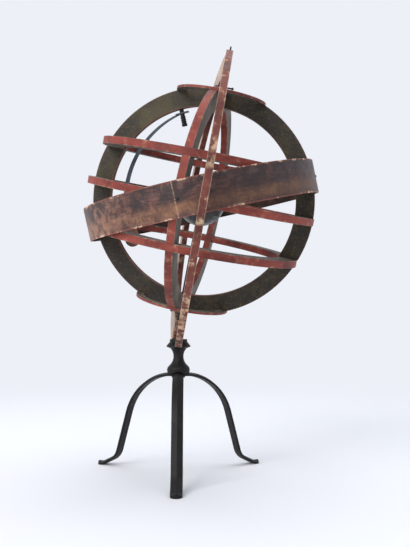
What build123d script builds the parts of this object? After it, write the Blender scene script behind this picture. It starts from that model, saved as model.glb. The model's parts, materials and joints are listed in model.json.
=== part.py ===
from build123d import *
from math import cos, pi, radians, sin, sqrt, tan
import os

# Armillary sphere on a wrought-iron tripod, in millimetres.
# The origin is on the floor under the middle of the whole, +Z is up and the front leg points to -Y.

# Colures, the two large rings that cross at the poles
sphere_radius = 150.0
ring_width = 24.3
colure_thickness = 9.4
lap_clearance = 0.05

# Hoops, the equator and the two tropics, half-lapped into the colures
hoop_thickness = 9.2
equator_radius = 151.3
equator_height = 2.0
tropic_radius = 140.5
tropic_height = 54.5

# Polar circles, thin flat rings let into the colures
polar_circle_width = 10.0
polar_circle_thickness = 3.2
arctic_radius = 59.0
antarctic_radius = 63.0

# Zodiac, a wide thin band bent round the outside in two halves
obliquity = 23.45
zodiac_width = 42.0
zodiac_wall = 2.5
zodiac_clearance = 0.15
zodiac_seam_shift = 0.8
nail_shift = 2.4
nail_radius = 0.9
nail_length = 15.0

# Polar axle with its cotters, and the little globe at the centre
axle_radius = 2.6
journal_radius = 1.6
axle_tip_height = 9.0
axle_tip_radius = 0.9
running_clearance = 0.06
drill_clearance = 0.05
cotter_radius = 1.0
cotter_length = 21.0
cotter_knob_radius = 2.0
globe_radius = 32.0

# Meridian, a ring of two flat halves lapped side by side at the foot
meridian_radius = 195.3
meridian_width = 32.0
meridian_thickness = 8.5
meridian_front_azimuth = -87.6
meridian_rear_azimuth = 98.3
meridian_crown_overlap = 4.0
meridian_tail = 7.0
lap_tongue = 1.1
lap_rivet_radius = 1.6
lap_rivet_length = 14.0
lap_rivet_angle = 4.5
lap_rivet_inset = 8.0

# Where the tripod's axis stands, to the left of the origin and behind it
stand_left = 30.0
stand_behind = 27.5

# How the sphere leans over its foot, in degrees from the vertical
centre_lean_right = 9.15
centre_lean_front = 8.33
axis_lean_right = 11.24
axis_lean_front = 12.82
sphere_turn = -7.97

# Ecliptic spindle and the arm that turns on it
spindle_collar_radius = 3.0
spindle_collar_length = 4.5
spindle_spike_radius = 1.7
spindle_spike_length = 17.5
spindle_tail_radius = 1.4
spindle_tail_length = 15.0
spindle_nut_length = 16.2
spindle_nut_flange_radius = 3.7
spindle_nut_flange_length = 1.4
arm_axial_clearance = 0.2
arm_eye_thickness = 1.5
arm_eye_width = 6.4
arm_eye_tail = 9.0
arm_thickness = 1.6
arm_radius = 125.3
arm_centre_side = -15.7
arm_centre_height = -4.0
arm_slim_width = 1.6
arm_spread = 4.5
arm_start_angle = 9.3
arm_end_angle = 101.0
arm_azimuth = 174.0
plaque_width = 22.0
plaque_length = 42.0
plaque_thickness = 2.0
plaque_end_angle = 106.0
plaque_rivet_radius = 1.1
plaque_rivet_spacing = 16.0

# Tripod legs, flat bars with a ridge along the outer face
bar_width = 14.5
bar_thickness = 5.0
bar_edge = 2.8
bar_bevel = 1.2
bar_bevel_height = 0.8
leg_turn = 1.5
leg_reach = 131.0
leg_foot_flat = 9.0
leg_crown_height = 127.5
leg_shoulder = 63.0
leg_knee_reach = 96.5
leg_knee_height = 12.0
leg_shoulder_radius = 71.0
leg_knee_radius = 24.0
leg_toe_radius = 14.0
crown_seat = 3.7

# Turned iron head that stands on the crown of the legs and holds the meridian
head_height = 46.0
head_base_radius = 13.5
head_bulge_radius = 15.5
head_bulge_height = 5.3
head_shoulder_radius = 12.8
head_shoulder_height = 10.4
head_waist_radius = 6.7
head_waist_height = 22.8
head_neck_radius = 10.8
head_neck_height = 33.6
head_collar_radius = 16.3
head_collar_height = 35.8
head_collar_edge = 1.3
head_rim_radius = 11.8
head_rim_height = 3.6
head_seat_depth = 8.2
slot_clearance = 0.15
foot_pin_radius = 1.5
foot_pin_height = 4.6
head_keepout = 0.5

# Stud, washer and square nut that clamp the head to the legs
stud_radius = 4.0
stud_depth = 18.0
stud_tail = 2.4
washer_radius = 9.0
washer_thickness = 1.6
nut_size = 13.0
nut_thickness = 6.0


def direction(lean_right, lean_front):
    """Unit vector that leans from the vertical to +X and to -Y."""
    return Vector(tan(radians(lean_right)), -tan(radians(lean_front)), 1).normalized()


head_base_z = leg_crown_height + crown_seat
head_top_z = head_base_z + head_height
foot_point = Vector(0, 0, head_top_z - head_seat_depth)
centre = foot_point + direction(centre_lean_right, centre_lean_front) * meridian_radius
polar_axis = direction(axis_lean_right, axis_lean_front)
polar_right = polar_axis.cross(Vector(0, -1, 0)).normalized()
polar_back = polar_axis.cross(polar_right)


def around_pole(azimuth):
    """Direction square to the polar axis, at an azimuth from its right-hand side."""
    return polar_right * cos(radians(azimuth)) + polar_back * sin(radians(azimuth))


sphere_frame = Plane(origin=centre, x_dir=around_pole(sphere_turn), z_dir=polar_axis)
ecliptic_tilt = Rot(0, -obliquity, 0)
ecliptic_frame = Plane(sphere_frame.location * ecliptic_tilt)
ecliptic_axis = ecliptic_frame.z_dir


def flat_ring(outer, width, thickness):
    """Flat annulus about Z, centred on the origin."""
    return Cylinder(outer, thickness) - Cylinder(outer - width, thickness + 1)


def drill(radius, start, end):
    """Cylinder along Z from start to end."""
    return Pos(0, 0, (start + end) / 2) * Cylinder(radius, end - start)


def ring_sector(outer, inner, start, end, thickness):
    """Part of a flat annulus between two angles from X, centred on its own plane."""
    outer_arc = CenterArc((0, 0), outer, start, end - start)
    inner_arc = CenterArc((0, 0), inner, start, end - start)
    ends = [Line(outer_arc @ 0, inner_arc @ 0), Line(outer_arc @ 1, inner_arc @ 1)]
    return extrude(make_face([outer_arc, inner_arc] + ends), thickness / 2, both=True)


def revolved(points):
    """Solid of revolution about Z from straight-sided (radius, height) points."""
    return revolve(make_face(Plane.XZ * Polyline(*points, close=True)), Axis.Z)


def arc_points(start, middle, end, steps):
    """Points spaced evenly along the arc through three (radius, height) points."""
    arc = ThreePointArc(start, middle, end)
    return [((arc @ (step / steps)).X, (arc @ (step / steps)).Y) for step in range(steps + 1)]


# Rings of the sphere, in their own frame: Z is the polar axis, X lies in the solstitial colure

colure_mid = sphere_radius - ring_width / 2
hoops = {
    "equator_hoop": (equator_radius, equator_height),
    "north_tropic_hoop": (tropic_radius, tropic_height),
    "south_tropic_hoop": (tropic_radius, -tropic_height),
}


def circle_height(radius):
    """Height at which a polar circle's outer lower edge meets the colures' edge."""
    return sqrt(sphere_radius**2 - radius**2)


def polar_circle(radius, side):
    middle = circle_height(radius) + polar_circle_thickness / 2
    return Pos(0, 0, side * middle) * flat_ring(radius, polar_circle_width, polar_circle_thickness)


arctic_circle = polar_circle(arctic_radius, 1)
antarctic_circle = polar_circle(antarctic_radius, -1)

nail_seats = [
    Rot(0, 90, 0),
    Rot(0, -90, 0),
    Pos(nail_shift, 0, 0) * Rot(90, 0, 0),
    Pos(nail_shift, 0, 0) * Rot(-90, 0, 0),
]
zodiac_inner = equator_radius + zodiac_clearance
zodiac_outer = zodiac_inner + zodiac_wall
nails = [
    ecliptic_tilt * seat * drill(nail_radius, zodiac_outer - nail_length, zodiac_outer)
    for seat in nail_seats
]
nail_holes = [
    ecliptic_tilt * seat * drill(nail_radius, zodiac_outer - nail_length, zodiac_outer + 1)
    for seat in nail_seats
]


def without(body, cutters):
    for cutter in cutters:
        body = body - cutter
    return body


def hoop_outer_cutter(radius, height):
    """Room that a hoop's outer half takes in the colures."""
    cutter = flat_ring(radius + 5, ring_width / 2 + 5, hoop_thickness + 2 * lap_clearance)
    return Pos(0, 0, height) * cutter


hoop_cutters = [hoop_outer_cutter(*size) for size in hoops.values()]
slab = colure_thickness + 2 * lap_clearance
pole_block = 2 * ring_width
axle_hole = Cylinder(axle_radius + drill_clearance, 2 * sphere_radius + 20)


def pole_notches(middle, along_x, along_y):
    """Room at both poles for the other colure's half."""
    return [Pos(0, 0, side * middle) * Box(along_x, along_y, pole_block) for side in (-1, 1)]


def colure(rotation, notches):
    ring = rotation * flat_ring(sphere_radius, ring_width, colure_thickness)
    return without(ring, hoop_cutters + [arctic_circle, antarctic_circle, axle_hole] + notches + nail_holes)


outer_notches = pole_notches(colure_mid + pole_block / 2, slab, 2 * slab)
inner_notches = pole_notches(colure_mid - pole_block / 2, 2 * slab, slab)
spike_hole = ecliptic_tilt * drill(
    spindle_spike_radius, sphere_radius - ring_width - 1, sphere_radius - ring_width + spindle_spike_length
)
solstitial_colure = colure(Rot(90, 0, 0), outer_notches) - spike_hole
equinoctial_colure = colure(Rot(0, 90, 0), inner_notches)

zodiac_space = ecliptic_tilt * (
    Cylinder(sphere_radius + ring_width, zodiac_width + 2 * zodiac_clearance)
    - Cylinder(zodiac_inner - drill_clearance, zodiac_width + 1)
)


def hoop(radius, height):
    """Flat hoop, its inner half cleared for the colures and its edge trimmed under the zodiac."""
    ring = flat_ring(radius, ring_width, hoop_thickness)
    span = 2 * radius
    tall = hoop_thickness + 2
    inner = Cylinder(radius - ring_width / 2, tall)
    crosses = [Box(span, slab, tall) & inner, Box(slab, span, tall) & inner]
    return without(Pos(0, 0, height) * without(ring, crosses), [zodiac_space] + nail_holes)


zodiac_tube = Cylinder(zodiac_outer, zodiac_width) - Cylinder(zodiac_inner, zodiac_width + 1)
half_span = 2 * zodiac_outer


def zodiac_half(side):
    half = Pos(side * half_span / 2 - zodiac_seam_shift, 0, 0) * Box(half_span, half_span, half_span)
    return without(ecliptic_tilt * (zodiac_tube & half), nail_holes)


# Axle, cotters and globe
ring_inner = meridian_radius - meridian_width
shoulder = ring_inner - 0.6
axle_top = meridian_radius + axle_tip_height
axle_bottom = -meridian_radius + 1.5
cotter_height = sphere_radius + cotter_knob_radius + 0.2


def cotter_place(side):
    """Where a cotter crosses the axle, square to the line of sight."""
    turn = -sphere_turn if side > 0 else 180 - sphere_turn
    return Pos(0, 0, side * cotter_height) * Rot(0, 0, turn)


def cotter(side):
    """Wire through the axle with a round knob at its right-hand end."""
    end = cotter_length / 2
    knob = [(0, end + 2 * cotter_knob_radius), (cotter_knob_radius, end + cotter_knob_radius), (cotter_radius, end)]
    wire = revolved(knob + [(cotter_radius, -end), (0, -end)])
    return cotter_place(side) * Rot(0, 90, 0) * wire


polar_axle = drill(axle_radius, -shoulder, shoulder) + drill(journal_radius, axle_bottom, meridian_radius)
polar_axle += Pos(0, 0, (meridian_radius + axle_top) / 2) * Cone(journal_radius, axle_tip_radius, axle_tip_height)
cross_drill = Rot(0, 90, 0) * Cylinder(cotter_radius, 4 * axle_radius)
polar_axle = without(polar_axle, [cotter_place(1) * cross_drill, cotter_place(-1) * cross_drill])
globe_outline = arc_points((0, -globe_radius), (globe_radius, 0), (0, globe_radius), 14)
earth_globe = revolved(globe_outline) - Cylinder(axle_radius + drill_clearance, 3 * globe_radius)

# Ecliptic spindle, along Z of the ecliptic frame
collar_top = sqrt((sphere_radius - ring_width) ** 2 - spindle_collar_radius**2)
collar_bottom = collar_top - spindle_collar_length
eye_top = collar_bottom - arm_axial_clearance
eye_bottom = eye_top - arm_eye_thickness
nut_top = eye_bottom - arm_axial_clearance
nut_bottom = nut_top - spindle_nut_length


ecliptic_spindle = (
    drill(spindle_collar_radius, collar_bottom, collar_top)
    + drill(spindle_spike_radius, collar_top, collar_top + spindle_spike_length)
    + drill(journal_radius, nut_top, collar_bottom)
    + drill(spindle_tail_radius, nut_top - spindle_tail_length, nut_top)
)
spindle_nut = (
    drill(spindle_collar_radius, nut_bottom + spindle_nut_flange_length, nut_top)
    + drill(spindle_nut_flange_radius, nut_bottom, nut_bottom + spindle_nut_flange_length)
    - drill(spindle_tail_radius, nut_bottom - 1, nut_top + 1)
)

# Arm, in a plane through the ecliptic axis: X away from the axis, Y along it
arm_out = ecliptic_frame.x_dir * cos(radians(arm_azimuth)) + ecliptic_frame.y_dir * sin(radians(arm_azimuth))
arm_plane = Plane(origin=centre, x_dir=arm_out, z_dir=arm_out.cross(ecliptic_axis))
arc_centre = Pos(arm_centre_side, arm_centre_height)


def arm_point(angle):
    """Point on the arm's middle line, at an angle from the ecliptic axis."""
    x = arm_centre_side + arm_radius * sin(radians(angle))
    y = arm_centre_height + arm_radius * cos(radians(angle))
    return Vector(x, y)


def arm_blade():
    """Sickle-shaped blade that widens from the eye to the plaque."""
    outer = Pos(arm_centre_side + arm_spread / 2, arm_centre_height) * Circle(arm_radius + arm_slim_width / 2)
    inner = Pos(arm_centre_side - arm_spread / 2, arm_centre_height) * Circle(arm_radius - arm_slim_width / 2)
    reach = 2 * arm_radius
    start = radians(arm_start_angle)
    end = radians(arm_end_angle)
    wedge = make_face(
        Polyline(
            (0, 0),
            (reach * sin(start), reach * cos(start)),
            (reach, reach),
            (reach * sin(end), reach * cos(end)),
            close=True,
        )
    )
    return extrude((outer - inner) & (arc_centre * wedge), arm_thickness / 2, both=True)


def sun_arm():
    eye_middle = (eye_top + eye_bottom) / 2
    eye_reach = arm_point(arm_start_angle).X + 4
    tab = Pos((eye_reach - arm_eye_tail) / 2, eye_middle, 0) * Box(
        eye_reach + arm_eye_tail, arm_eye_thickness, arm_eye_width
    )
    hole = Pos(0, eye_middle, 0) * Rot(90, 0, 0) * Cylinder(journal_radius + running_clearance, 3 * arm_eye_thickness)
    return arm_blade() + tab - hole


plaque_end = arm_point(plaque_end_angle)
plaque_middle_angle = plaque_end_angle - 180 / pi * plaque_length / 2 / arm_radius
plaque_middle = arm_point(plaque_middle_angle)
plaque_place = Pos(plaque_middle.X, plaque_middle.Y) * Rot(0, 0, -plaque_middle_angle)
rivet_spots = [
    Pos(side * plaque_rivet_spacing / 2 - plaque_rivet_spacing / 2, 0) for side in (-1, 1)
]


def plaque_outline():
    """Tongue with a rounded lower end, long along X."""
    straight = plaque_length - plaque_width / 2
    body = Pos(-plaque_width / 4, 0) * Rectangle(straight, plaque_width)
    return body + Pos(straight / 2 - plaque_width / 4, 0) * Circle(plaque_width / 2)


def sun_plaque():
    sheet = extrude(plaque_outline(), plaque_thickness)
    holes = [spot * drill(plaque_rivet_radius, -1, plaque_thickness + 1) for spot in rivet_spots]
    return plaque_place * Pos(0, 0, -arm_thickness / 2 - plaque_thickness) * without(sheet, holes)


def plaque_rivets():
    """Rivets through the arm's end and the plaque, flush on both faces."""
    pin = drill(plaque_rivet_radius, -arm_thickness / 2 - plaque_thickness, arm_thickness / 2)
    return [plaque_place * spot * pin for spot in rivet_spots]


arm_rivet_holes = [
    plaque_place * spot * drill(plaque_rivet_radius, -arm_thickness, arm_thickness) for spot in rivet_spots
]

# Meridian halves
pole_point = centre + polar_axis * (meridian_radius - meridian_width / 2)
front_direction = around_pole(meridian_front_azimuth)
front_normal = (pole_point - foot_point).cross(front_direction).normalized()
front_centre = centre - front_normal * (centre - foot_point).dot(front_normal)
front_up = (polar_axis - front_normal * polar_axis.dot(front_normal)).normalized()
front_plane = Plane(origin=front_centre, x_dir=front_up, z_dir=front_normal)
rear_direction = around_pole(meridian_rear_azimuth)
rear_plane = Plane(origin=centre, x_dir=polar_axis, z_dir=polar_axis.cross(rear_direction))
polar_frame = Plane(origin=centre, x_dir=polar_right, z_dir=polar_axis)
journal_hole = drill(journal_radius + running_clearance, ring_inner - 5, meridian_radius + 5)
lower_journal_hole = Rot(180, 0, 0) * journal_hole


def front_blank(thicker, wider):
    """Front half before drilling, grown on its faces and along its two edges."""
    start = -meridian_crown_overlap
    end = 180 + meridian_tail
    thickness = meridian_thickness + 2 * thicker
    return front_plane.location * ring_sector(meridian_radius + wider, ring_inner - wider, start, end, thickness)


def lap_rivet_seats():
    """Two places on the front half's outer face, one above the other, behind the foot."""
    angle = 180 + lap_rivet_angle
    radii = (ring_inner + lap_rivet_inset, meridian_radius - lap_rivet_inset)
    face = meridian_thickness / 2
    return [
        front_plane.location * Rot(0, 0, angle) * Pos(radius, 0, face) for radius in radii
    ]


lap_rivets = [seat * drill(lap_rivet_radius, -lap_rivet_length, 0) for seat in lap_rivet_seats()]


bevel_height = head_height - head_rim_height
head_shape_top = [
    (head_collar_radius, head_collar_height),
    (head_collar_radius, head_collar_height + head_collar_edge),
    (head_rim_radius, bevel_height),
    (head_rim_radius, head_height),
]


def head_profile():
    """Baluster outline: bulge, waist, collar and rim."""
    bulge = arc_points(
        (head_base_radius, 0), (head_bulge_radius, head_bulge_height), (head_shoulder_radius, head_shoulder_height), 4
    )
    waist = arc_points(
        (head_shoulder_radius, head_shoulder_height),
        (head_waist_radius, head_waist_height),
        (head_neck_radius, head_neck_height),
        6,
    )
    return [(0, 0)] + bulge + waist[1:] + head_shape_top + [(0, head_height)]


def slotted_head():
    turned = Pos(0, 0, head_base_z) * revolved(head_profile())
    stud_hole = drill(stud_radius, head_base_z - 1, head_base_z + stud_depth)
    return without(turned, [stud_hole, front_blank(slot_clearance, slot_clearance), foot_pin_shape()])


def foot_pin_shape():
    """Pin through the head's rim and the meridian's foot, flush with the rim."""
    middle = foot_point + (centre - foot_point).normalized() * foot_pin_height
    place = Plane(origin=middle, z_dir=front_normal)
    pin = place.location * Cylinder(foot_pin_radius, 4 * head_rim_radius)
    return pin & drill(head_rim_radius - 0.1, head_base_z, head_top_z)


def head_room():
    """Head's upper outline with a clearance, for the rear half to stay out of."""
    points = [(radius + head_keepout, height) for radius, height in head_shape_top]
    points = [(0, head_collar_height - head_keepout)] + points + [(0, head_height + head_keepout)]
    return Pos(0, 0, head_base_z) * revolved(points)


meridian_front = without(
    front_blank(0, 0),
    [polar_frame.location * journal_hole, foot_pin_shape()] + lap_rivets,
)
rear_sector = ring_sector(
    meridian_radius, ring_inner, meridian_crown_overlap - 1, 180 + lap_tongue, meridian_thickness
)
meridian_rear = without(
    rear_plane.location * rear_sector,
    [front_blank(0, meridian_thickness), head_room(), polar_frame.location * lower_journal_hole] + lap_rivets,
)

# Tripod


def bar_section():
    """Flat bar, its underside on the path and a ridge along its outer face."""
    half = bar_width / 2
    right = [(half - bar_bevel, 0), (half, bar_bevel_height), (half, bar_edge)]
    left = [(-x, y) for x, y in reversed(right)]
    return make_face(Polyline(*right, (0, bar_thickness), *left, close=True))


def leg():
    """One leg along +X: crown, shoulder bend, shank, knee and flat toe."""
    points = [
        (0, 0, leg_crown_height),
        (leg_shoulder, 0, leg_crown_height),
        (leg_knee_reach, 0, leg_knee_height),
        (leg_reach - leg_foot_flat, 0, 0),
        (leg_reach, 0, 0),
    ]
    path = FilletPolyline(*points, radius=[leg_shoulder_radius, leg_knee_radius, leg_toe_radius])
    start = Plane(origin=points[0], x_dir=(0, 1, 0), z_dir=(1, 0, 0))
    bar = sweep(start * bar_section(), path=path)
    far = 2 * leg_reach
    mitre = extrude(make_face(Polyline((0, 0), (far, far * tan(pi / 3)), (far, -far * tan(pi / 3)), close=True)), far)
    toe_round = Pos(leg_reach - bar_width / 2, 0, 0)
    toe = toe_round * (Pos(bar_width / 2, 0, 0) * Box(bar_width, 2 * bar_width, far) - Cylinder(bar_width / 2, far))
    seat = drill(head_bulge_radius + 0.5, head_base_z, head_base_z + bar_width)
    hole = drill(stud_radius, 0, head_base_z + 1)
    return without(bar & mitre, [toe, seat, hole])


one_leg = leg()
leg_angles = {"front_leg": -90, "right_leg": 30, "left_leg": 150}
nut_top_z = leg_crown_height - washer_thickness
stud_bottom = nut_top_z - nut_thickness - stud_tail
crown_stud = drill(stud_radius, stud_bottom, head_base_z + stud_depth)
crown_washer = drill(washer_radius, nut_top_z, leg_crown_height) - Cylinder(stud_radius, 4 * leg_crown_height)
nut_block = Pos(0, 0, nut_top_z - nut_thickness / 2) * Box(nut_size, nut_size, nut_thickness)
crown_nut = nut_block - Cylinder(stud_radius, 4 * leg_crown_height)

nodes = {name: Rot(0, 0, angle + leg_turn) * one_leg for name, angle in leg_angles.items()}
nodes |= {
    "crown_stud": crown_stud,
    "crown_washer": crown_washer,
    "crown_nut": crown_nut,
    "slotted_head": slotted_head(),
    "foot_pin": foot_pin_shape(),
    "meridian_front_half": meridian_front,
    "meridian_rear_half": meridian_rear,
    "meridian_lap_rivets": Compound(children=lap_rivets),
}
sphere_parts = {
    "solstitial_colure": solstitial_colure,
    "equinoctial_colure": equinoctial_colure,
    "arctic_circle": arctic_circle,
    "antarctic_circle": antarctic_circle,
    "zodiac_left_band": zodiac_half(-1),
    "zodiac_right_band": zodiac_half(1),
    "zodiac_nails": Compound(children=nails),
    "polar_axle": polar_axle,
    "north_cotter": cotter(1),
    "south_cotter": cotter(-1),
    "earth_globe": earth_globe,
    "ecliptic_spindle": ecliptic_tilt * ecliptic_spindle,
    "spindle_nut": ecliptic_tilt * spindle_nut,
}
sphere_parts |= {name: hoop(*size) for name, size in hoops.items()}
nodes |= {name: sphere_frame.location * shape for name, shape in sphere_parts.items()}
nodes |= {
    "sun_arm": arm_plane.location * without(sun_arm(), arm_rivet_holes),
    "sun_plaque": arm_plane.location * sun_plaque(),
    "plaque_rivets": arm_plane.location * Compound(children=plaque_rivets()),
}

os.makedirs("parts", exist_ok=True)
for name, shape in nodes.items():
    export_step(Pos(-stand_left, stand_behind, 0) * shape, f"parts/{name}.step")
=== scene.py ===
import json
from math import cos, pi, radians, sin

import bmesh
import bpy
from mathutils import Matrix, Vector


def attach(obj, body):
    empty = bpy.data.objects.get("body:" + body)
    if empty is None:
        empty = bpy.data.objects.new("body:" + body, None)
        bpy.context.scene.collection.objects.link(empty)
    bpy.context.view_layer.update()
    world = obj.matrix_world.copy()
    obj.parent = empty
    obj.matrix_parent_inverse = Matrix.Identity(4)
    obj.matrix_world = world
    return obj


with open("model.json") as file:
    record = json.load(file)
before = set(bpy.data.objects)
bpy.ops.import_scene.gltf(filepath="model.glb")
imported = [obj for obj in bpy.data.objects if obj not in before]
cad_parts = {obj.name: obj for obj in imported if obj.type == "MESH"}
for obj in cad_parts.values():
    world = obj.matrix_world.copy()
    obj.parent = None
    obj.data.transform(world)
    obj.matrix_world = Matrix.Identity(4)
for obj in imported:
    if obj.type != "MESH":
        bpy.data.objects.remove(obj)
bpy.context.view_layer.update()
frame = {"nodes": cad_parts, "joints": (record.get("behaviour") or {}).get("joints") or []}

nodes = frame["nodes"]
joints = {joint["name"]: joint for joint in frame["joints"]}

# Frames of the object, in metres
MM = 0.001
CENTRE = Vector(joints["sphere_spin"]["pos_m"])
POLE = Vector(joints["sphere_spin"]["axis"]).normalized()
ECLIPTIC = Vector(joints["sun_arm_swing"]["axis"]).normalized()
NODE_LINE = POLE.cross(ECLIPTIC).normalized()
SPHERE_X = NODE_LINE.cross(POLE).normalized() * (-1 if NODE_LINE.cross(POLE).x < 0 else 1)
SPHERE_Y = POLE.cross(SPHERE_X)
ECLIPTIC_X = (SPHERE_X - ECLIPTIC * SPHERE_X.dot(ECLIPTIC)).normalized()
ECLIPTIC_Y = ECLIPTIC.cross(ECLIPTIC_X)

# Sizes of the rings, in millimetres
SPHERE_RADIUS = 150
RING_WIDTH = 24.3
COLURE_THICKNESS = 9.4
HOOP_THICKNESS = 9.2
EQUATOR_RADIUS = 151.3
EQUATOR_HEIGHT = 2
TROPIC_RADIUS = 140.5
TROPIC_HEIGHT = 54.5
POLAR_CIRCLE_WIDTH = 10
POLAR_CIRCLE_THICKNESS = 3.2
ARCTIC_RADIUS = 59
ARCTIC_HEIGHT = 139.5
ANTARCTIC_RADIUS = 63
ANTARCTIC_HEIGHT = 137.7
MERIDIAN_RADIUS = 195.3
MERIDIAN_WIDTH = 32
MERIDIAN_THICKNESS = 8.5
MERIDIAN_REAR_AZIMUTH = 98.3

# Sizes of the zodiac band, in metres
ZODIAC_HALF_WIDTH = 0.021
ZODIAC_SEAM_SHIFT = 0.0008
ZODIAC_INNER_RADIUS = 0.1520
ZODIAC_PAPER_RADIUS = 0.1531


def srgb(red, green, blue):
    """Linear colour of an 8-bit screen colour."""
    def linear(value):
        value /= 255
        return value / 12.92 if value <= 0.04045 else ((value + 0.055) / 1.055) ** 2.4
    return (linear(red), linear(green), linear(blue), 1)


class Graph:
    """A material and short calls that add its nodes."""

    def __init__(self, name):
        self.material = bpy.data.materials.new(name)
        self.material.use_nodes = True
        self.tree = self.material.node_tree
        self.tree.nodes.clear()
        self.place = self.add("ShaderNodeTexCoord").outputs["Object"]

    def add(self, kind, inputs=(), **settings):
        node = self.tree.nodes.new(kind)
        for key, value in settings.items():
            setattr(node, key, value)
        for key, value in dict(inputs).items():
            if isinstance(value, bpy.types.NodeSocket):
                self.tree.links.new(value, node.inputs[key])
            else:
                node.inputs[key].default_value = value
        return node

    def math(self, operation, first, second=0.0, clamp=False):
        node = self.add("ShaderNodeMath", {0: first, 1: second}, operation=operation, use_clamp=clamp)
        return node.outputs[0]

    def times(self, first, second):
        return self.math("MULTIPLY", first, second)

    def dot(self, vector, axis):
        node = self.add("ShaderNodeVectorMath", {0: vector, 1: axis}, operation="DOT_PRODUCT")
        return node.outputs["Value"]

    def local(self, origin, x_axis, y_axis, z_axis):
        """Coordinates along three axes from an origin, as three sockets."""
        offset = self.add("ShaderNodeVectorMath", {0: self.place, 1: origin}, operation="SUBTRACT")
        return [self.dot(offset.outputs[0], axis) for axis in (x_axis, y_axis, z_axis)]

    def vector(self, x, y, z):
        return self.add("ShaderNodeCombineXYZ", {0: x, 1: y, 2: z}).outputs[0]

    def length(self, x, y):
        return self.math("SQRT", self.math("ADD", self.times(x, x), self.times(y, y)))

    def band(self, value, low, high, soft):
        """1 between low and high, falling to 0 over a soft edge."""
        rise = self.ramp_value(value, low - soft, low + soft)
        fall = self.ramp_value(value, high - soft, high + soft)
        return self.math("SUBTRACT", rise, fall, clamp=True)

    def ramp_value(self, value, start, end, low=0.0, high=1.0):
        """Low at the start, high at the end and smooth between them."""
        sockets = {"Value": value, "From Min": start, "From Max": end, "To Min": low, "To Max": high}
        return self.add("ShaderNodeMapRange", sockets, interpolation_type="SMOOTHSTEP").outputs["Result"]

    def noise(self, vector, scale, detail=4.0, roughness=0.55, distortion=0.0):
        sockets = {"Vector": vector, "Scale": scale, "Detail": detail}
        sockets |= {"Roughness": roughness, "Distortion": distortion}
        return self.add("ShaderNodeTexNoise", sockets).outputs["Fac"]

    def mix(self, factor, first, second):
        node = self.add("ShaderNodeMix", data_type="RGBA", blend_type="MIX")
        for key, value in (("Factor", factor), (6, first), (7, second)):
            if isinstance(value, bpy.types.NodeSocket):
                self.tree.links.new(value, node.inputs[key])
            else:
                node.inputs[key].default_value = value
        return node.outputs[2]

    def finish(self, colour, roughness, height, strength=0.3, distance=0.0004, **shader):
        """Close the material with a bumped surface of a colour and a roughness."""
        surface = self.add("ShaderNodeBsdfPrincipled", {"Base Color": colour, "Roughness": roughness})
        for key, value in shader.items():
            surface.inputs[key.replace("_", " ")].default_value = value
        bump = self.add("ShaderNodeBump", {"Height": height, "Strength": strength, "Distance": distance})
        self.tree.links.new(bump.outputs[0], surface.inputs["Normal"])
        return self.output(surface)

    def output(self, surface):
        last = self.add("ShaderNodeOutputMaterial")
        self.tree.links.new(surface.outputs[0], last.inputs[0])
        return self.material


def assign(names, material):
    for name in names:
        slots = nodes[name].data.materials
        slots.clear()
        slots.append(material)


class Ring:
    """Where a flat ring lies: its centre, in-plane axes, normal, and its section given in millimetres."""

    def __init__(self, centre, x_axis, y_axis, outer, width, thickness):
        self.centre = centre
        self.axes = (x_axis.normalized(), y_axis.normalized(), x_axis.cross(y_axis).normalized())
        self.outer = outer * MM
        self.inner = (outer - width) * MM
        self.half = thickness / 2 * MM


def ring_masks(graph, ring):
    """A surface point's radius, its distances from the ring's edges and faces, its angle and height."""
    x, y, w = graph.local(ring.centre, *ring.axes)
    radius = graph.length(x, y)
    from_outer = graph.math("SUBTRACT", ring.outer, radius)
    from_inner = graph.math("SUBTRACT", radius, ring.inner)
    from_face = graph.math("SUBTRACT", ring.half, graph.math("ABSOLUTE", w))
    angle = graph.math("ARCTAN2", y, x)
    return radius, from_outer, from_inner, from_face, angle, w


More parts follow.
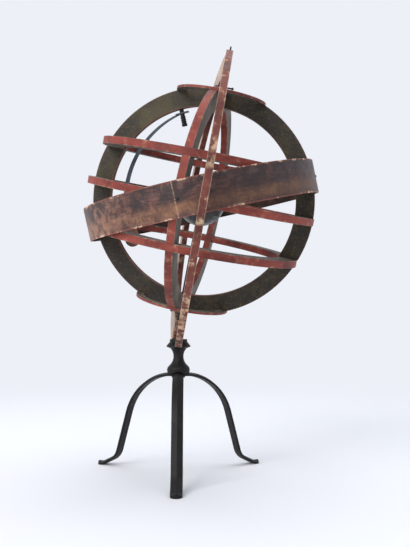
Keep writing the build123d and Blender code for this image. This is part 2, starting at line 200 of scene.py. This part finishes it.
def painted_ring(name, ring, paint, face, edge, worn=0.5, seed=0.0, rubs=()):
    """Painted edges round paper-covered faces, rubbed through along the corners and at some heights."""
    graph = Graph(name)
    radius, from_outer, from_inner, from_face, angle, w = ring_masks(graph, ring)
    shift = graph.add("ShaderNodeVectorMath", {0: graph.place, 1: (seed, seed * 2, seed * 3)})
    broad = graph.noise(shift.outputs[0], 22, 3, 0.5)
    middle = graph.noise(shift.outputs[0], 110, 5, 0.6)
    fine = graph.noise(shift.outputs[0], 650, 6, 0.7)
    # Brushed grain follows the ring
    along = graph.vector(graph.times(angle, 3.0), graph.times(radius, 160), graph.times(w, 160))
    grain = graph.noise(along, 3, 4, 0.6)
    red = graph.mix(graph.ramp_value(broad, 0.35, 0.68), paint[0], paint[1])
    red = graph.mix(graph.ramp_value(middle, 0.45, 0.72, 0, 0.65), red, paint[2])
    red = graph.mix(graph.ramp_value(grain, 0.58, 0.74, 0, 0.45), red, paint[3])
    # Paper faces with thin ruled circles
    paper = graph.mix(graph.ramp_value(middle, 0.3, 0.7), face[0], face[1])
    paper = graph.mix(graph.ramp_value(broad, 0.5, 0.75, 0, 0.8), paper, face[2])
    rules = graph.math("PINGPONG", graph.math("SUBTRACT", radius, ring.inner), 0.0028)
    paper = graph.mix(graph.ramp_value(rules, 0.00035, 0.0001, 0, 0.25), paper, face[3])
    base = graph.mix(graph.ramp_value(from_face, 0.0005, 0.0001), red, paper)
    # Wear along the corners, in spots and where hands hold the ring
    near_outer = graph.ramp_value(from_outer, 0.0022, 0.0002)
    near_inner = graph.ramp_value(from_inner, 0.0018, 0.0002)
    near_face = graph.ramp_value(from_face, 0.0016, 0.0002)
    corner = graph.math("MAXIMUM", graph.times(near_outer, near_face), graph.times(near_inner, near_face))
    uneven = graph.math("ADD", graph.times(middle, 0.6), graph.times(fine, 0.4))
    rubbed = graph.times(corner, graph.ramp_value(uneven, 0.5, 0.62))
    specks = graph.times(fine, graph.ramp_value(middle, 0.4, 0.7))
    spots = graph.ramp_value(specks, 0.46, 0.56, 0, 0.8)
    wear = graph.times(graph.math("MAXIMUM", rubbed, spots), worn)
    for level, reach in rubs:
        height_off = graph.math("SUBTRACT", graph.dot(graph.place, (0, 0, 1)), level)
        near_level = graph.ramp_value(graph.math("ABSOLUTE", height_off), reach * 1.5, reach * 0.3)
        rub = graph.times(near_level, graph.ramp_value(middle, 0.42, 0.6))
        wear = graph.math("MAXIMUM", wear, graph.times(rub, 0.85))
    colour = graph.mix(wear, base, edge)
    # Soot and old varnish darken the hollows
    grime = graph.times(graph.ramp_value(broad, 0.52, 0.34), graph.ramp_value(fine, 0.35, 0.6))
    colour = graph.mix(graph.times(grime, 0.6), colour, paint[3])
    roughness = graph.ramp_value(middle, 0.3, 0.7, 0.5, 0.75)
    height = graph.math("ADD", graph.times(fine, 0.5), graph.math("SUBTRACT", middle, wear))
    return graph, colour, roughness, height


def parallel(height, outer, width=RING_WIDTH, thickness=HOOP_THICKNESS):
    """A ring square to the polar axis, at a height above the centre."""
    return Ring(CENTRE + POLE * height * MM, SPHERE_X, SPHERE_Y, outer, width, thickness)


def polar_circle(height, outer):
    return parallel(height, outer, POLAR_CIRCLE_WIDTH, POLAR_CIRCLE_THICKNESS)


# Red rings of the sphere
RED_PAINT = (srgb(112, 44, 36), srgb(142, 63, 52), srgb(160, 92, 79), srgb(56, 26, 24))
GREY_PAPER = (srgb(86, 76, 68), srgb(114, 104, 94), srgb(140, 130, 120), srgb(54, 46, 42))
PALE_WOOD = srgb(198, 168, 136)
RED_WORN = 0.55
SEED_STEP = 0.37
sphere_rings = {
    "equinoctial_colure": Ring(CENTRE, SPHERE_Y, POLE, SPHERE_RADIUS, RING_WIDTH, COLURE_THICKNESS),
    "equator_hoop": parallel(EQUATOR_HEIGHT, EQUATOR_RADIUS),
    "north_tropic_hoop": parallel(TROPIC_HEIGHT, TROPIC_RADIUS),
    "south_tropic_hoop": parallel(-TROPIC_HEIGHT, TROPIC_RADIUS),
    "arctic_circle": polar_circle(ARCTIC_HEIGHT, ARCTIC_RADIUS),
    "antarctic_circle": polar_circle(-ANTARCTIC_HEIGHT, ANTARCTIC_RADIUS),
}
for seed, (name, ring) in enumerate(sphere_rings.items()):
    graph, colour, roughness, height = painted_ring(
        name, ring, RED_PAINT, GREY_PAPER, PALE_WOOD, RED_WORN, seed * SEED_STEP
    )
    assign([name], graph.finish(colour, roughness, height, 0.35, 0.0003, Specular_IOR_Level=0.35))

# The meridian's two flat halves: the front one passes through the foot, the rear one through the pole
FRONT_NORMAL = Vector((0.98486, 0.0371226, -0.1693325)).normalized()
FOOT = Vector((-0.030, 0.0275, 0.169))
FRONT_CENTRE = CENTRE - FRONT_NORMAL * (CENTRE - FOOT).dot(FRONT_NORMAL)
FRONT_UP = (POLE - FRONT_NORMAL * POLE.dot(FRONT_NORMAL)).normalized()
POLAR_RIGHT = POLE.cross(Vector((0, -1, 0))).normalized()
POLAR_BACK = POLE.cross(POLAR_RIGHT)
REAR_TURN = radians(MERIDIAN_REAR_AZIMUTH)
REAR_OUT = POLAR_RIGHT * cos(REAR_TURN) + POLAR_BACK * sin(REAR_TURN)


def meridian_ring(centre, up, out):
    return Ring(centre, up, out, MERIDIAN_RADIUS, MERIDIAN_WIDTH, MERIDIAN_THICKNESS)


meridian_rings = {
    "meridian_front_half": meridian_ring(FRONT_CENTRE, FRONT_UP, FRONT_NORMAL.cross(FRONT_UP)),
    "meridian_rear_half": meridian_ring(CENTRE, POLE, REAR_OUT),
}
MERIDIAN_PAINT = (srgb(86, 38, 32), srgb(112, 56, 47), srgb(138, 90, 75), srgb(48, 24, 22))
MERIDIAN_PAPER = (srgb(182, 160, 148), srgb(150, 124, 112), srgb(202, 188, 178), srgb(98, 68, 60))
MERIDIAN_WOOD = srgb(206, 176, 144)
MERIDIAN_WORN = 0.9
MERIDIAN_FIRST_SEED = 3
# Heights where handling has rubbed the strip down to the wood, each with its reach, in metres
MERIDIAN_RUBS = (
    (0.380, 0.007), (0.361, 0.006), (0.300, 0.004), (0.216, 0.017), (0.186, 0.013), (0.543, 0.010)
)
for seed, (name, ring) in enumerate(meridian_rings.items(), MERIDIAN_FIRST_SEED):
    graph, colour, roughness, height = painted_ring(
        name, ring, MERIDIAN_PAINT, MERIDIAN_PAPER, MERIDIAN_WOOD, MERIDIAN_WORN, seed, MERIDIAN_RUBS
    )
    assign([name], graph.finish(colour, roughness, height, 0.5, 0.0005, Specular_IOR_Level=0.35))


def dark_colure():
    """Mottled olive-brown faces, near black in places, with reddish edges."""
    ring = Ring(CENTRE, SPHERE_X, POLE, SPHERE_RADIUS, RING_WIDTH, COLURE_THICKNESS)
    graph = Graph("dark_colure")
    _, from_outer, from_inner, from_face, _, _ = ring_masks(graph, ring)
    broad = graph.noise(graph.place, 16, 3, 0.5)
    middle = graph.noise(graph.place, 95, 6, 0.65, 0.6)
    fine = graph.noise(graph.place, 420, 5, 0.7)
    colour = graph.mix(graph.ramp_value(middle, 0.38, 0.66), srgb(32, 26, 20), srgb(66, 56, 38))
    colour = graph.mix(graph.ramp_value(broad, 0.52, 0.74, 0, 0.55), colour, srgb(88, 80, 48))
    colour = graph.mix(graph.ramp_value(broad, 0.5, 0.3, 0, 0.75), colour, srgb(34, 25, 21))
    colour = graph.mix(graph.ramp_value(fine, 0.55, 0.68, 0, 0.5), colour, srgb(122, 104, 74))
    on_edge = graph.ramp_value(from_face, 0.0001, 0.0006)
    colour = graph.mix(on_edge, colour, graph.mix(middle, srgb(96, 50, 42), srgb(60, 40, 34)))
    outer_rim = graph.ramp_value(from_outer, 0.0012, 0.0002)
    inner_rim = graph.ramp_value(from_inner, 0.001, 0.0002)
    rim = graph.math("MAXIMUM", outer_rim, inner_rim)
    colour = graph.mix(graph.times(rim, 0.55), colour, srgb(128, 84, 70))
    roughness = graph.ramp_value(middle, 0.3, 0.7, 0.42, 0.68)
    height = graph.math("ADD", middle, graph.times(fine, 0.4))
    return graph.finish(colour, roughness, height, 0.35, 0.0003, Specular_IOR_Level=0.4)


assign(["solstitial_colure"], dark_colure())


def zodiac_band():
    """Varnished brown paper: smudged upper part, golden lower stripe with faint divisions, worn margins."""
    graph = Graph("zodiac_band")
    x, y, height_on = graph.local(CENTRE, ECLIPTIC_X, ECLIPTIC_Y, ECLIPTIC)
    radius = graph.length(x, y)
    angle = graph.math("ARCTAN2", y, x)
    broad = graph.noise(graph.place, 14, 3, 0.5)
    along = graph.vector(graph.times(angle, 7), graph.times(height_on, 260), 0.0)
    streak = graph.noise(along, 1.6, 5, 0.6)
    middle = graph.noise(graph.place, 80, 6, 0.65, 0.5)
    fine = graph.noise(graph.place, 520, 5, 0.7)
    colour = graph.mix(graph.ramp_value(middle, 0.32, 0.68), srgb(72, 42, 40), srgb(112, 72, 60))
    colour = graph.mix(graph.ramp_value(broad, 0.52, 0.7, 0, 0.75), colour, srgb(60, 52, 60))
    colour = graph.mix(graph.ramp_value(streak, 0.46, 0.62, 0, 0.75), colour, srgb(36, 24, 26))
    # Golden stripe along the lower half
    stripe = graph.band(height_on, -0.0175, -0.0035, 0.0045)
    stripe = graph.times(stripe, graph.ramp_value(broad, 0.25, 0.66, 0.25, 0.9))
    gold = graph.mix(graph.ramp_value(middle, 0.35, 0.65), srgb(112, 74, 52), srgb(158, 114, 80))
    colour = graph.mix(graph.times(stripe, 0.8), colour, gold)
    # Grey smudges along the upper half
    smudge = graph.times(graph.ramp_value(height_on, 0.0, 0.009), graph.ramp_value(middle, 0.5, 0.66))
    colour = graph.mix(graph.times(smudge, 0.5), colour, srgb(92, 88, 94))
    # Bare paper low on the left end
    low_part = graph.ramp_value(height_on, -0.002, -0.014)
    left_end = graph.times(graph.ramp_value(x, -0.136, -0.152), low_part)
    left_end = graph.times(left_end, graph.ramp_value(middle, 0.38, 0.56))
    colour = graph.mix(graph.times(left_end, 0.75), colour, srgb(204, 170, 136))
    # Painted light and shade across the band: pale patches grow towards its left end, where the key light
    # falls, and the colour darkens smoothly towards its right end, on the shaded side
    painted_light_left = graph.times(graph.ramp_value(x, -0.02, -0.13), graph.ramp_value(middle, 0.36, 0.6))
    colour = graph.mix(graph.times(painted_light_left, 0.45), colour, srgb(178, 136, 112))
    # Painted shade: the right end of the band is darkened smoothly
    colour = graph.mix(graph.ramp_value(x, -0.005, 0.09, 0, 0.5), colour, srgb(38, 24, 22))
    # Soot lies in blots along the upper half
    blots = graph.ramp_value(graph.noise(graph.place, 38, 5, 0.7, 0.8), 0.46, 0.56)
    soot = graph.times(graph.ramp_value(height_on, -0.009, 0.004), blots)
    colour = graph.mix(graph.times(soot, 0.78), colour, srgb(36, 28, 30))
    # Divisions, two degrees apart
    ticks = graph.math("PINGPONG", graph.times(angle, 90 / pi), 0.5)
    tick_rows = graph.band(height_on, -0.0165, -0.0125, 0.0005)
    ticks = graph.times(graph.ramp_value(ticks, 0.09, 0.03), tick_rows)
    colour = graph.mix(graph.times(ticks, 0.5), colour, srgb(66, 40, 32))
    colour = graph.mix(graph.ramp_value(fine, 0.58, 0.76, 0, 0.35), colour, srgb(176, 130, 104))
    # Red margins with pale chips
    from_margin = graph.math("SUBTRACT", ZODIAC_HALF_WIDTH, graph.math("ABSOLUTE", height_on))
    margin = graph.ramp_value(from_margin, 0.0018, 0.0004)
    colour = graph.mix(graph.times(margin, 0.7), colour, srgb(140, 76, 64))
    chips = graph.times(graph.ramp_value(from_margin, 0.003, 0.0004), graph.ramp_value(middle, 0.54, 0.62))
    colour = graph.mix(chips, colour, srgb(224, 192, 160))
    # Dotted pale seam between the two halves of the band
    from_seam = graph.math("ABSOLUTE", graph.math("ADD", x, ZODIAC_SEAM_SHIFT))
    seam = graph.times(graph.ramp_value(from_seam, 0.0009, 0.0004), graph.ramp_value(fine, 0.4, 0.55))
    colour = graph.mix(graph.times(seam, 0.7), colour, srgb(190, 150, 120))
    # Painted shade: the inner side of the band, inside the sphere, is painted dark brown
    inside = graph.ramp_value(radius, ZODIAC_PAPER_RADIUS, ZODIAC_INNER_RADIUS)
    painted_inner_shade = graph.mix(graph.ramp_value(middle, 0.35, 0.65), srgb(46, 34, 30), srgb(86, 60, 50))
    colour = graph.mix(inside, colour, painted_inner_shade)
    roughness = graph.ramp_value(middle, 0.3, 0.7, 0.38, 0.6)
    height = graph.math("ADD", middle, graph.times(fine, 0.4))
    return graph.finish(colour, roughness, height, 0.3, 0.0003, Specular_IOR_Level=0.45)


assign(["zodiac_left_band", "zodiac_right_band"], zodiac_band())


def iron(name, dark, light, rough_low, rough_high):
    graph = Graph(name)
    middle = graph.noise(graph.place, 130, 5, 0.6)
    fine = graph.noise(graph.place, 900, 5, 0.7)
    colour = graph.mix(graph.ramp_value(middle, 0.3, 0.7), dark, light)
    roughness = graph.ramp_value(middle, 0.3, 0.7, rough_low, rough_high)
    height = graph.math("ADD", middle, graph.times(fine, 0.5))
    return graph.finish(colour, roughness, height, 0.35, 0.0003, Metallic=0.35, Specular_IOR_Level=0.3)


STAND_IRON = [
    "front_leg", "left_leg", "right_leg", "crown_stud", "crown_washer", "crown_nut", "slotted_head",
    "foot_pin",
]
SMALL_IRON = [
    "polar_axle", "north_cotter", "south_cotter", "zodiac_nails", "meridian_lap_rivets", "plaque_rivets",
    "ecliptic_spindle", "spindle_nut",
]
assign(STAND_IRON, iron("wrought_iron", srgb(19, 17, 18), srgb(35, 32, 33), 0.44, 0.64))
dark_iron = iron("dark_iron", srgb(22, 22, 24), srgb(48, 46, 46), 0.35, 0.6)
assign(SMALL_IRON, dark_iron)
assign(["sun_arm"], iron("arm_metal", srgb(58, 66, 76), srgb(86, 94, 104), 0.4, 0.6))


def globe_paint():
    graph = Graph("globe_paint")
    broad = graph.noise(graph.place, 40, 4, 0.6)
    fine = graph.noise(graph.place, 400, 5, 0.7)
    colour = graph.mix(graph.ramp_value(broad, 0.4, 0.65), srgb(16, 13, 13), srgb(36, 27, 23))
    roughness = graph.ramp_value(fine, 0.3, 0.7, 0.28, 0.45)
    return graph.finish(colour, roughness, fine, 0.12, 0.0002, Coat_Weight=0.25)


assign(["earth_globe"], globe_paint())


def plaque_paint():
    graph = Graph("plaque_paint")
    middle = graph.noise(graph.place, 90, 6, 0.65)
    fine = graph.noise(graph.place, 500, 5, 0.7)
    colour = graph.mix(graph.ramp_value(middle, 0.35, 0.66), srgb(86, 52, 44), srgb(134, 88, 68))
    colour = graph.mix(graph.ramp_value(fine, 0.6, 0.75, 0, 0.5), colour, srgb(190, 150, 118))
    return graph.finish(colour, graph.ramp_value(middle, 0.3, 0.7, 0.45, 0.65), fine, 0.3, 0.0003)


assign(["sun_plaque"], plaque_paint())


# Small hardware, in millimetres: pairs of height and radius, closed at both ends by a radius of 0
NAIL_HEAD = [(-0.3, 0), (-0.3, 2.0), (0.15, 2.0), (0.5, 1.75), (0.8, 1.2), (0.95, 0.6), (1.0, 0)]
RIB = [(-0.5, 0), (-0.5, 3.3), (-0.3, 3.75), (0.0, 3.9), (0.3, 3.75), (0.5, 3.3), (0.5, 0)]
RIB_HEIGHTS = (105.5, 108.5, 111.5, 114.5)
TURNED_SEGMENTS = 20
NAIL_TIP_DEPTH = 0.0003


def turned_piece(name, origin, axis, profile, body, material):
    """A profile turned round an axis, as a closed mesh that rides on a body."""
    side = axis.orthogonal().normalized()
    other = axis.cross(side)
    turns = [2 * pi * step / TURNED_SEGMENTS for step in range(TURNED_SEGMENTS)]
    mesh = bmesh.new()
    loops = []
    for height, radius in profile:
        middle = origin + axis * height * MM
        rim = [middle + (side * cos(turn) + other * sin(turn)) * radius * MM for turn in turns]
        loops.append([mesh.verts.new(point) for point in (rim if radius else [middle])])
    for low, high in zip(loops, loops[1:]):
        for step in range(TURNED_SEGMENTS):
            after = (step + 1) % TURNED_SEGMENTS
            corners = [low[step % len(low)], low[after % len(low)]]
            corners += [high[after % len(high)], high[step % len(high)]]
            mesh.faces.new(list(dict.fromkeys(corners)))
    bmesh.ops.recalc_face_normals(mesh, faces=mesh.faces)
    data = bpy.data.meshes.new(name)
    mesh.to_mesh(data)
    mesh.free()
    data.materials.append(material)
    for polygon in data.polygons:
        polygon.use_smooth = True
    piece = bpy.data.objects.new(name, data)
    bpy.context.scene.collection.objects.link(piece)
    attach(piece, body)


def nail_heads():
    """Domed heads on the four nails that hold the zodiac band to the colures."""
    points = [vertex.co - CENTRE for vertex in nodes["zodiac_nails"].data.vertices]
    sides = (("right", ECLIPTIC_X), ("rear", ECLIPTIC_Y), ("left", -ECLIPTIC_X), ("front", -ECLIPTIC_Y))
    for side, axis in sides:
        reach = max(point.dot(axis) for point in points)
        tip = [point for point in points if point.dot(axis) > reach - NAIL_TIP_DEPTH]
        middle = sum(tip, Vector()) / len(tip)
        turned_piece("zodiac_nail_head_" + side, CENTRE + middle, axis, NAIL_HEAD, "sphere", dark_iron)


def spindle_ribs():
    """Turned ribs round the nut of the ecliptic spindle."""
    for count, height in enumerate(RIB_HEIGHTS, 1):
        place = CENTRE + ECLIPTIC * height * MM
        turned_piece(f"spindle_rib_{count}", place, ECLIPTIC, RIB, "sphere", dark_iron)


nail_heads()
spindle_ribs()


# Floor that curves up into the backdrop, in metres
FLOOR_COLOUR = srgb(236, 238, 243)
BACKGROUND_COLOUR = srgb(237, 240, 247)
EVEN_FROM = 0.45
EVEN_AT = 1.7
FLOOR_HALF_WIDTH = 9.0
FLOOR_FRONT = -6.0
BEND_START = 2.2
BEND_RADIUS = 1.6
BEND_STEPS = 12
WALL_TOP = 6.0


def seen_rays(tree):
    """1 for what the camera, a gloss or a glass shows, 0 for the light that falls on the object."""
    path = tree.nodes.new("ShaderNodeLightPath")
    total = path.outputs["Is Camera Ray"]
    for name in ("Is Glossy Ray", "Is Transmission Ray"):
        larger = tree.nodes.new("ShaderNodeMath")
        larger.operation = "MAXIMUM"
        tree.links.new(total, larger.inputs[0])
        tree.links.new(path.outputs[name], larger.inputs[1])
        total = larger.outputs[0]
    return total


def backdrop_paint():
    """A plain floor that passes into an even pale background away from the object."""
    graph = Graph("backdrop")
    x, y, _ = graph.local((0, 0, 0), (1, 0, 0), (0, 1, 0), (0, 0, 1))
    far = graph.ramp_value(graph.length(x, y), EVEN_FROM, EVEN_AT)
    plain = {"Base Color": FLOOR_COLOUR, "Roughness": 0.9, "Specular IOR Level": 0.1}
    floor = graph.add("ShaderNodeBsdfPrincipled", plain)
    glow = graph.add("ShaderNodeEmission", {"Color": BACKGROUND_COLOUR, "Strength": 1.0})
    share = graph.times(far, seen_rays(graph.tree))
    surfaces = {0: share, 1: floor.outputs[0], 2: glow.outputs[0]}
    return graph.output(graph.add("ShaderNodeMixShader", surfaces))


def backdrop():
    profile = [(FLOOR_FRONT, 0.0), (BEND_START, 0.0)]
    for step in range(1, BEND_STEPS + 1):
        turn = pi / 2 * step / BEND_STEPS
        profile.append((BEND_START + BEND_RADIUS * sin(turn), BEND_RADIUS - BEND_RADIUS * cos(turn)))
    profile.append((BEND_START + BEND_RADIUS, WALL_TOP))
    vertices = [(x, y, z) for y, z in profile for x in (-FLOOR_HALF_WIDTH, FLOOR_HALF_WIDTH)]
    faces = [(2 * i, 2 * i + 1, 2 * i + 3, 2 * i + 2) for i in range(len(profile) - 1)]
    mesh = bpy.data.meshes.new("backdrop")
    mesh.from_pydata(vertices, [], faces)
    for polygon in mesh.polygons:
        polygon.use_smooth = True
    floor = bpy.data.objects.new("backdrop", mesh)
    bpy.context.scene.collection.objects.link(floor)
    floor.data.materials.append(backdrop_paint())


backdrop()


# Light
LIGHT_TARGET = Vector((0, 0, 0.3))
WORLD_COLOUR = srgb(238, 241, 248)
WORLD_STRENGTH = 0.62


def area_light(name, place, size, power, colour=(1, 1, 1)):
    data = bpy.data.lights.new(name, "AREA")
    data.shape = "SQUARE"
    data.size = size
    data.energy = power
    data.color = colour
    light = bpy.data.objects.new(name, data)
    light.location = place
    light.rotation_euler = (LIGHT_TARGET - Vector(place)).to_track_quat("-Z", "Y").to_euler()
    bpy.context.scene.collection.objects.link(light)


def studio_world():
    """Soft light from all round, with the even background behind what the backdrop leaves open."""
    world = bpy.data.worlds.new("studio")
    world.use_nodes = True
    tree = world.node_tree
    light = tree.nodes["Background"]
    light.inputs[0].default_value = WORLD_COLOUR
    light.inputs[1].default_value = WORLD_STRENGTH
    shown = tree.nodes.new("ShaderNodeBackground")
    shown.inputs[0].default_value = BACKGROUND_COLOUR
    mixed = tree.nodes.new("ShaderNodeMixShader")
    tree.links.new(seen_rays(tree), mixed.inputs[0])
    tree.links.new(light.outputs[0], mixed.inputs[1])
    tree.links.new(shown.outputs[0], mixed.inputs[2])
    tree.links.new(mixed.outputs[0], tree.nodes["World Output"].inputs[0])
    bpy.context.scene.world = world


area_light("key_light", (-2.0, -2.6, 2.0), 2.4, 95, (1.0, 0.985, 0.96))
area_light("top_light", (0.4, 0.3, 3.2), 2.6, 45)
studio_world()


# Camera: the focal length and the image height are in pixels of the photograph
FOCAL_PIXELS = 625.8
IMAGE_HEIGHT_PIXELS = 547
SENSOR_HEIGHT = 36
CAMERA_PLACE = (0.00586, -0.8256, 0.1856)
CAMERA_RISE = 5.42
camera_data = bpy.data.cameras.new("camera")
camera_data.sensor_fit = "VERTICAL"
camera_data.sensor_height = SENSOR_HEIGHT
camera_data.lens = FOCAL_PIXELS / IMAGE_HEIGHT_PIXELS * SENSOR_HEIGHT
camera_data.clip_end = 50
camera = bpy.data.objects.new("camera", camera_data)
camera.location = CAMERA_PLACE
camera.rotation_euler = (radians(90 + CAMERA_RISE), 0, 0)
bpy.context.scene.collection.objects.link(camera)
bpy.context.scene.camera = camera
bpy.context.scene.view_settings.view_transform = "Standard"
